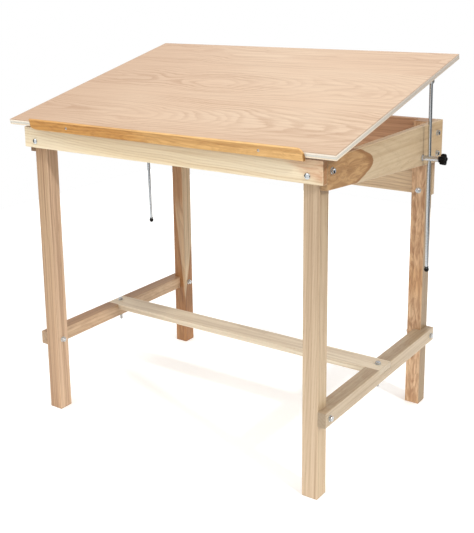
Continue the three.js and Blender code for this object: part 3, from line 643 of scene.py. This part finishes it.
def hexagon(r, z, n=36, inset=None):
    """A hexagon's outline with n points. An inset radius cuts its corners back, as a chamfer does."""
    out = []
    for i in range(n):
        a = 2 * math.pi * i / n
        local = (a % (math.pi / 3)) - math.pi / 6
        rr = r / math.cos(local)
        if inset is not None:
            rr = min(rr, inset)
        out.append((rr * math.cos(a), rr * math.sin(a), z))
    return out


FLAT = 6.5 * MM  # half of 13 mm across the flats
BOLT_R = 4.0 * MM
SHANK_R = 3.95 * MM
THREADED = 26 * MM  # length of a bolt's thread
WASHER_GAP = 2.0 * MM  # from the wood to a head or a nut, filled by the washer
HEAD_OUT = 7.3 * MM  # from the wood to the top of a hex head
CORNER = FLAT / math.cos(math.pi / 6)


def hex_prism(bm, z0, z1, both, bore=None):
    """A hexagon with the corners of its faces chamfered. With a bore it is a nut."""
    cut = 0.9 * MM
    low = [hexagon(FLAT, z0, inset=FLAT * 0.98), hexagon(FLAT, z0 + cut, inset=CORNER)] if both else \
          [hexagon(FLAT, z0)]
    high = [hexagon(FLAT, z1 - cut, inset=CORNER), hexagon(FLAT, z1, inset=FLAT * 0.98)]
    outer = low + high
    if bore is None:
        dished = [hexagon(FLAT * 0.80, z1, inset=FLAT * 0.80),
                  hexagon(FLAT * 0.72, z1 - 0.35 * MM, inset=FLAT * 0.72)]
        rings(bm, outer + dished)
    else:
        n = 36
        lip = 0.6 * MM
        inner = [circle(bore + lip, z1, n), circle(bore, z1 - lip, n), circle(bore, z0 + lip, n),
                 circle(bore + lip, z0, n)]
        rings(bm, outer + inner + [outer[0]], closed_ends=False)


def frame_to(point, direction, spin=0.0):
    """A matrix that takes local Z to a direction, at a point."""
    z = Vector(direction).normalized()
    turn = z.to_track_quat("Z", "Y").to_matrix().to_4x4()
    return Matrix.Translation(Vector(point)) @ turn @ Matrix.Rotation(spin, 4, "Z")


def washer(name, face, direction, body):
    bm = bmesh.new()
    hole, r, thick, soft = 4.3 * MM, 8.4 * MM, 1.6 * MM, 0.25 * MM
    lathe(bm, [(hole, 0), (r - soft, 0), (r, soft), (r, thick - soft), (r - 0.8 * MM, thick),
               (hole + 0.4 * MM, thick), (hole, thick - 0.3 * MM)], 40)
    piece(name, bm, PLATE, body, at=frame_to(face, direction))


def bolt(name, node, head_at, out, length, spin=0.0):
    """A hex bolt in place of a CAD one: head_at is the wood's face, and out points away from the wood."""
    bm = bmesh.new()
    gap = WASHER_GAP
    hex_prism(bm, gap, HEAD_OUT, both=False)
    collar_r, low, high = 5.9 * MM, gap - 0.25 * MM, gap + 0.3 * MM
    lathe(bm, [(0, low), (collar_r, low), (collar_r, high), (0, high)], 32)
    shank_end = -(length - THREADED)
    lathe(bm, [(0, gap), (SHANK_R, gap), (SHANK_R, shank_end), (0, shank_end)], 24)
    thread(bm, shank_end, -length, BOLT_R)
    piece(name, bm, ZINC, "root", smooth=35, replaces=[node],
          at=frame_to(head_at, out, spin))
    washer(name + "_washer", Vector(head_at) + Vector(out) * 0.1 * MM, out, "root")


def nut(name, face, out, replaces=(), spin=0.0, body="root", gap=WASHER_GAP, with_washer=True):
    """A hex nut on the washer that lies on the wood's face; out points away from the wood."""
    bm = bmesh.new()
    hex_prism(bm, gap, gap + 6.5 * MM, both=True, bore=4.02 * MM)
    piece(name, bm, BRIGHT, body, smooth=35, replaces=list(replaces),
          at=frame_to(face, out, spin))
    if with_washer:
        washer(name + "_washer", Vector(face) + Vector(out) * 0.1 * MM, out, body)


def screw_head(name, at, body, r, rise, material=ZINC):
    """A cross-recessed screw head, its rim flush with the surface at the matrix's origin."""
    bm = bmesh.new()
    n, steps = 48, 12
    sections = []
    for k in range(steps + 1):
        rr = r * (1 - k / steps)
        ring = []
        for i in range(n):
            a = 2 * math.pi * i / n
            x, y = rr * math.cos(a), rr * math.sin(a)
            dome = rise * (1 - (rr / r) ** 2)
            arm = 0.62 * MM
            inside = (abs(x) < arm or abs(y) < arm) and rr < r * 0.60
            depth = 1.5 * MM * (1 - rr / (r * 0.75)) if inside else 0
            ring.append((x, y, dome - max(0, depth)))
        sections.append(ring)
    skirt = [[(x * 0.55, y * 0.55, z - 2.0 * MM) for x, y, z in sections[0]]]
    made = rings(bm, skirt + sections[:-1], closed_ends=False)
    bm.faces.new(list(reversed(made[0])))
    tip = bm.verts.new((0, 0, rise - 2.0 * MM))
    for i in range(n):
        bm.faces.new((made[-1][i], made[-1][(i + 1) % n], tip))
    piece(name, bm, material, body, smooth=30, at=at)


# ---- frame bolts, nuts and washers -----------------------------------------
random.seed(546)
X, Y, Z = Vector((1, 0, 0)), Vector((0, 1, 0)), Vector((0, 0, 1))
SIDE_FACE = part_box("upper_side_rail_right")[1].x
LOW_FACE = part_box("lower_side_rail_right")[1].x
LEG_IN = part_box("leg_front_right")[0].x
LEG_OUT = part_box("leg_front_right")[1].x
LOW_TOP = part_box("lower_side_rail_right")[1].z
LOW_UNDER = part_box("lower_side_rail_right")[0].z
REAR_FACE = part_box("rear_apron")[1].y
FRONT_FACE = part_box("front_apron")[0].y
REAR_LEG_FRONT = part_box("leg_rear_right")[0].y
FRONT_LEG_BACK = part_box("leg_front_right")[1].y
for side, sx in SIDES:
    for place in ("side_rail_bolt_front", "side_rail_bolt_rear_upper", "side_rail_bolt_rear_lower"):
        node = f"{place}_{side}"
        c = mid(node)
        lo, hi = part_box(node)
        length = hi.x - lo.x - HEAD_OUT
        bolt(f"{node}_fine", node, (sx * SIDE_FACE, c.y, c.z), X * sx, length, random.uniform(0, 1))
        nut(f"{place}_nut_{side}", (sx * LEG_IN, c.y, c.z), -X * sx, spin=random.uniform(0, 1))
    for end in ("front", "rear"):
        node = f"lower_rail_bolt_{end}_{side}"
        c = mid(node)
        lo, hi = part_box(node)
        length = hi.x - lo.x - HEAD_OUT
        bolt(f"{node}_fine", node, (sx * LOW_FACE, c.y, c.z), X * sx, length, random.uniform(0, 1))
        nut(f"lower_rail_nut_{end}_{side}_fine", (sx * LEG_IN, c.y, c.z), -X * sx,
            [f"lower_rail_nut_{end}_{side}"], random.uniform(0, 1))
    node = f"stretcher_bolt_{side}"
    c = mid(node)
    lo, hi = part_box(node)
    bolt(f"{node}_fine", node, (c.x, c.y, LOW_TOP), Z, hi.z - lo.z - HEAD_OUT, random.uniform(0, 1))
    nut(f"stretcher_nut_{side}_fine", (c.x, c.y, LOW_UNDER), -Z, [f"stretcher_nut_{side}"],
        random.uniform(0, 1))
    node = f"apron_bolt_rear_{side}"
    c = mid(node)
    lo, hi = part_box(node)
    bolt(f"{node}_fine", node, (c.x, REAR_FACE, c.z), Y, hi.y - lo.y - HEAD_OUT, random.uniform(0, 1))
    nut(f"apron_nut_rear_{side}_fine", (c.x, REAR_LEG_FRONT, c.z), -Y, [f"apron_nut_rear_{side}"],
        random.uniform(0, 1))

    # Carriage bolt: a polished dome on the apron, and a threaded end with its nut behind the leg.
    node = f"apron_bolt_front_{side}"
    c = mid(node)
    lo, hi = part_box(node)
    bm = bmesh.new()
    dome = [(0.0, 4.45 * MM)]
    for i in range(1, 11):
        a = i / 10 * math.pi / 2
        dome.append((8.3 * MM * math.sin(a), 0.5 * MM + 3.95 * MM * math.cos(a)))
    dome += [(8.3 * MM, 0.35 * MM), (0.0, 0.35 * MM)]
    lathe(bm, list(reversed(dome)), 48)
    piece(f"{node}_fine", bm, CHROME, "root", smooth=60, replaces=[node],
          at=frame_to((c.x, FRONT_FACE, c.z), -Y))
    bm = bmesh.new()
    end = hi.y - FRONT_FACE
    shank_end = -(end - THREADED)
    lathe(bm, [(0, 0.5 * MM), (SHANK_R, 0.5 * MM), (SHANK_R, shank_end), (0, shank_end)], 24)
    thread(bm, shank_end, -end, BOLT_R)
    piece(f"{node}_shank", bm, ZINC, "root", smooth=35,
          at=frame_to((c.x, FRONT_FACE, c.z), -Y))
    nut(f"apron_nut_front_{side}_fine", (c.x, FRONT_LEG_BACK, c.z), Y, [f"apron_nut_front_{side}"],
        random.uniform(0, 1))


# ---- hinges, brackets and screws -------------------------------------------
def under_board(x, along, height, spin):
    """A place in the board's turned frame, facing down."""
    down = Matrix.Rotation(math.pi, 4, "X")
    return BOARD_TURN @ Matrix.Translation((x, along, height)) @ down @ Matrix.Rotation(spin, 4, "Z")


LEAF_SCREW = Vector((0, 0.0145, 1.7 * MM))  # behind the pin, and above or below it
for side, sx in SIDES:
    for node in (f"hinge_lower_leaf_{side}", f"hinge_upper_leaf_{side}", f"hinge_pin_{side}"):
        dress(node, BRASSY)
    for node in (f"rod_bracket_{side}", f"rod_pivot_pin_{side}"):
        dress(node, SATIN)
    c = mid(f"hinge_pin_{side}")
    for i, dx in enumerate((-0.026, 0.0, 0.026)):
        at = Matrix.Translation((c.x + dx, PIN.y + LEAF_SCREW.y, PIN.z - LEAF_SCREW.z))
        screw_head(f"hinge_screw_low_{side}_{i}", at @ Matrix.Rotation(0.4 + i, 4, "Z"), "root",
                   r=2.9 * MM, rise=0.15 * MM, material=BRASSY)
        screw_head(f"hinge_screw_high_{side}_{i}", under_board(c.x + dx, LEAF_SCREW.y, LEAF_SCREW.z, 1.1 + i),
                   "board", r=2.9 * MM, rise=0.15 * MM, material=BRASSY)
    pivot = Vector(joints[f"rod_pivot_{side}"]["pos_m"])
    rel = BOARD_TURN.inverted() @ pivot
    for i, dy in enumerate((-0.009, 0.009)):
        at = under_board(pivot.x - sx * 0.0265, rel.y + dy, BOARD_UNDER - 3.3 * MM, 0.7 * i)
        screw_head(f"bracket_screw_{side}_{i}", at, "board", r=3.4 * MM, rise=0.6 * MM)

LEDGE_FACE = -7.3 * MM - LEDGE_THICK  # the ledge's front face, ahead of the hinge pin
LEDGE_MIDDLE = BOARD_TOP + 10 * MM - LEDGE_TALL / 2  # its top stands 10 mm above the board
for i, x in enumerate((-0.3000, 0.3300)):
    at = BOARD_TURN @ Matrix.Translation((x, LEDGE_FACE - 0.1 * MM, LEDGE_MIDDLE))
    at = at @ Matrix.Rotation(math.pi / 2, 4, "X") @ Matrix.Rotation(0.5 + i, 4, "Z")
    screw_head(f"ledge_screw_{i}", at, "board", r=3.6 * MM, rise=0.5 * MM)


# ---- support rods, tips, clamps and knobs ----------------------------------
def star_knob():
    """Five lobes on a disc with a short hub, about Z, from the hub's face."""
    bm = bmesh.new()
    lobes, n = 5, 100
    hub = [(0.0083, 0.0), (0.0086, 0.0004), (0.0086, 0.0014)]
    disc = [(0.62, 0.0022), (0.86, 0.0028), (0.965, 0.0044), (1.0, 0.0070), (1.0, 0.0130), (0.965, 0.0155),
            (0.88, 0.0169), (0.70, 0.0173), (0.45, 0.0171), (0.40, 0.0165), (0.20, 0.0164)]

    def edge(a):
        return 0.0118 + 0.0051 * abs(math.cos(lobes * a / 2)) ** 1.9

    sections = [circle(r, z, n) for r, z in hub]
    for share, z in disc:
        ring = []
        for i in range(n):
            a = 2 * math.pi * i / n
            # Near the middle the star's outline blends into a circle.
            even = 0.0130
            blend = min(1.0, max(0.0, (share - 0.40) / 0.45))
            rr = share * (even + (edge(a) - even) * blend)
            ring.append((rr * math.cos(a), rr * math.sin(a), z))
        sections.append(ring)
    rings(bm, sections)
    return bm


ROD_LONG = 0.544  # from the pivot to the rod's end
COLLAR_AT = SIDE_FACE + 48.6 * MM
KNOB_AT = SIDE_FACE + 52.4 * MM
for side, sx in SIDES:
    pivot = Vector(joints[f"rod_pivot_{side}"]["pos_m"])
    clamp = Vector(joints[f"clamp_swivel_{side}"]["pos_m"])
    clamp.x = pivot.x
    down = (clamp - pivot).normalized()
    lean = Matrix.Rotation(math.atan2(down.y, -down.z), 4, "X")

    # Support rod: a shaft, slightly flared where it meets the eye that turns on the pivot pin.
    bm = bmesh.new()
    shaft = [(0, -ROD_LONG), (4.5 * MM, -ROD_LONG), (4.75 * MM, -ROD_LONG + 0.3 * MM), (4.75 * MM, -14 * MM),
             (4.9 * MM, -10 * MM), (4.6 * MM, -4.6 * MM), (0, -4.6 * MM)]
    lathe(bm, shaft, 40)
    eye = bmesh.new()
    r_in, r_out, hw = 3.55 * MM, 8.3 * MM, 5.1 * MM
    section = [(r_out, hw - 1.6 * MM), (r_out - 0.5 * MM, hw - 0.5 * MM), (r_out - 1.6 * MM, hw),
               (r_in + 0.5 * MM, hw), (r_in, hw - 0.4 * MM)]
    lathe(eye, [(r, -z) for r, z in reversed(section)] + section, 48)
    bmesh.ops.transform(eye, matrix=Matrix.Rotation(math.pi / 2, 4, "Y"), verts=eye.verts)
    temp = bpy.data.meshes.new("eye")
    eye.to_mesh(temp)
    eye.free()
    bm.from_mesh(temp)
    bpy.data.meshes.remove(temp)
    rod_place = Matrix.Translation(pivot) @ lean
    piece(f"support_rod_{side}_fine", bm, ROD, f"rod_{side}", smooth=35,
          replaces=[f"support_rod_{side}"], at=rod_place)

    # Rubber tip: a ball with a short neck, hollow where the rod goes in.
    bm = bmesh.new()
    r = 7.1 * MM
    profile = [(0.0, -r)]
    for i in range(1, 15):
        a = -math.pi / 2 + i / 14 * math.pi * 0.79
        profile.append((r * math.cos(a), r * math.sin(a)))
    profile += [(6.1 * MM, 6.6 * MM), (6.2 * MM, 8.3 * MM), (5.7 * MM, 8.9 * MM), (4.85 * MM, 8.9 * MM),
                (4.8 * MM, 6.0 * MM), (0.0, 5.9 * MM)]
    lathe(bm, profile, 40)
    bmesh.ops.translate(bm, verts=bm.verts, vec=(0, 0, -ROD_LONG))
    piece(f"rod_tip_{side}_fine", bm, RUBBER, f"rod_{side}", smooth=45,
          replaces=[f"rod_tip_{side}"], at=rod_place)

    # Swivel clamp: the CAD bar, plated, with a darker collar at its outer end.
    dress(f"rod_clamp_{side}", CLAMP_BAR, COLLAR)
    bar = nodes[f"rod_clamp_{side}"].data
    for polygon in bar.polygons:
        out = abs(sum(bar.vertices[i].co.x for i in polygon.vertices) / len(polygon.vertices))
        polygon.material_index = 1 if out > COLLAR_AT else 0
    nut(f"rod_clamp_nut_{side}_fine", (sx * LEG_OUT, clamp.y, clamp.z), -X * sx,
        [f"rod_clamp_nut_{side}"], 0.3, f"clamp_{side}", gap=0.6 * MM, with_washer=False)
    swing = Matrix.Translation((0, clamp.y, clamp.z)) @ lean @ Matrix.Rotation(sx * math.pi / 2, 4, "Y")
    piece(f"star_knob_{side}_fine", star_knob(), PLASTIC, f"knob_{side}", smooth=50,
          replaces=[f"star_knob_{side}"],
          at=swing @ Matrix.Translation((0, 0, KNOB_AT)) @ Matrix.Rotation(0.35, 4, "Z"))


# ---- floor, light and camera -----------------------------------------------
bm = bmesh.new()
bmesh.ops.create_grid(bm, x_segments=4, y_segments=4, size=2.1)
bmesh.ops.scale(bm, verts=bm.verts, vec=(1, 0.845, 1))
floor_data = bpy.data.meshes.new("floor")
bm.to_mesh(floor_data)
bm.free()
floor = bpy.data.objects.new("floor", floor_data)
floor.location = (-0.40, 0.825, -0.0004)
bpy.context.scene.collection.objects.link(floor)
paper = Graph("floor_paper", 0.9, specular=0.0)
speckle = paper.noise(paper.here, 40.0, 3.0)
paper.colour(paper.mix(speckle, srgb(249, 249, 248), srgb(247, 247, 246)))
paper.shader.inputs["Emission Color"].default_value = (1.0, 1.0, 1.0, 1)
paper.shader.inputs["Emission Strength"].default_value = 0.22
floor_data.materials.append(paper.material)

world = bpy.data.worlds.new("studio")
bpy.context.scene.world = world
world.use_nodes = True
wt = world.node_tree
wt.nodes.clear()
w_out = wt.nodes.new("ShaderNodeOutputWorld")
w_white = wt.nodes.new("ShaderNodeBackground")
w_white.inputs["Color"].default_value = (1.0, 1.0, 1.0, 1)
w_white.inputs["Strength"].default_value = 1.0
w_room = wt.nodes.new("ShaderNodeBackground")
w_room.inputs["Color"].default_value = (1.0, 0.995, 0.985, 1)
w_room.inputs["Strength"].default_value = 1.0
w_mix = wt.nodes.new("ShaderNodeMixShader")
w_path = wt.nodes.new("ShaderNodeLightPath")
wt.links.new(w_path.outputs["Is Camera Ray"], w_mix.inputs["Fac"])
wt.links.new(w_room.outputs[0], w_mix.inputs[1])
wt.links.new(w_white.outputs[0], w_mix.inputs[2])
wt.links.new(w_mix.outputs[0], w_out.inputs["Surface"])
# Low down the room has dark openings between its white walls, which polished metal needs to read as metal.
w_co = wt.nodes.new("ShaderNodeTexCoord")
w_split = wt.nodes.new("ShaderNodeSeparateXYZ")
w_round = wt.nodes.new("ShaderNodeMath")
w_round.operation = "ARCTAN2"
w_turn = wt.nodes.new("ShaderNodeMapRange")
w_turn.inputs["From Min"].default_value = -math.pi
w_turn.inputs["From Max"].default_value = math.pi
w_wall = wt.nodes.new("ShaderNodeValToRGB")
WALL = ((-180, 0.04), (-146, 0.04), (-136, 1.0), (-52, 1.0), (-42, 0.04), (12, 0.04), (20, 0.75), (45, 0.75),
        (51, 0.04), (88, 0.04), (98, 0.55), (146, 0.55), (160, 0.04), (180, 0.04))  # degrees and grey
while len(w_wall.color_ramp.elements) < len(WALL):
    w_wall.color_ramp.elements.new(0.5)
for element, (degrees, grey) in zip(w_wall.color_ramp.elements, WALL):
    element.position = (degrees + 180) / 360
    element.color = (grey, grey, grey * 0.99, 1)
w_high = wt.nodes.new("ShaderNodeMapRange")
w_high.interpolation_type = "SMOOTHSTEP"
w_high.inputs["From Min"].default_value = 0.12
w_high.inputs["From Max"].default_value = 0.40
w_blend = wt.nodes.new("ShaderNodeMix")
w_blend.data_type = "RGBA"
w_blend.inputs[7].default_value = (1.0, 0.995, 0.985, 1)
wt.links.new(w_co.outputs["Generated"], w_split.inputs[0])
wt.links.new(w_split.outputs["Y"], w_round.inputs[0])
wt.links.new(w_split.outputs["X"], w_round.inputs[1])
wt.links.new(w_round.outputs[0], w_turn.inputs["Value"])
wt.links.new(w_turn.outputs[0], w_wall.inputs[0])
# The dark openings on the left are taller.
w_left = wt.nodes.new("ShaderNodeMapRange")
w_left.interpolation_type = "SMOOTHSTEP"
w_left.inputs["From Min"].default_value = -0.45
w_left.inputs["From Max"].default_value = -0.85
w_left.inputs["To Max"].default_value = -0.38
w_lower = wt.nodes.new("ShaderNodeMath")
w_lower.operation = "ADD"
wt.links.new(w_split.outputs["X"], w_left.inputs["Value"])
wt.links.new(w_left.outputs[0], w_lower.inputs[0])
wt.links.new(w_split.outputs["Z"], w_lower.inputs[1])
wt.links.new(w_lower.outputs[0], w_high.inputs["Value"])
wt.links.new(w_high.outputs[0], w_blend.inputs["Factor"])
wt.links.new(w_wall.outputs[0], w_blend.inputs[6])
wt.links.new(w_blend.outputs[2], w_room.inputs["Color"])


def sun(name, direction, strength, angle, colour=(1.0, 0.99, 0.97)):
    data = bpy.data.lights.new(name, "SUN")
    data.energy = strength
    data.angle = math.radians(angle)
    data.color = colour
    obj = bpy.data.objects.new(name, data)
    obj.rotation_euler = Vector(direction).to_track_quat("Z", "Y").to_euler()
    bpy.context.scene.collection.objects.link(obj)


sun("key", (-0.35, -0.75, 1.0), 0.75, 60)
sun("side", (1.0, -0.34, 0.72), 1.35, 3.5)

CAM = {"x": 1.4712, "y": -2.136848, "z": 1.2899395, "az": 35.1003, "pitch": -12.7804, "roll": -0.7982,
       "focal": 902.4652, "cx": 226.8276, "cy": 182.819}
SHIFT_Y = 0.01045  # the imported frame's origin is this far behind the leg frame's middle
W, H = 474, 533  # the picture's size in pixels, as for the focal length and centre above
SENSOR = 36.0
az, pitch, roll = (math.radians(CAM[k]) for k in ("az", "pitch", "roll"))
ahead = Vector((-math.sin(az) * math.cos(pitch), math.cos(az) * math.cos(pitch), math.sin(pitch)))
right = Vector((math.cos(az), math.sin(az), 0))
up = right.cross(ahead)
right, up = (right * math.cos(roll) + up * math.sin(roll), up * math.cos(roll) - right * math.sin(roll))
camera = bpy.data.objects.new("camera", bpy.data.cameras.new("camera"))
bpy.context.scene.collection.objects.link(camera)
turn = Matrix((right, up, -ahead)).transposed().to_4x4()
camera.matrix_world = Matrix.Translation((CAM["x"], CAM["y"] + SHIFT_Y, CAM["z"])) @ turn
camera.data.sensor_width = SENSOR
camera.data.lens = CAM["focal"] / H * SENSOR
camera.data.shift_x = (W / 2 - CAM["cx"]) / H
camera.data.shift_y = (CAM["cy"] - H / 2) / H
camera.data.clip_end = 100
bpy.context.scene.camera = camera
bpy.context.scene.view_settings.view_transform = "Standard"
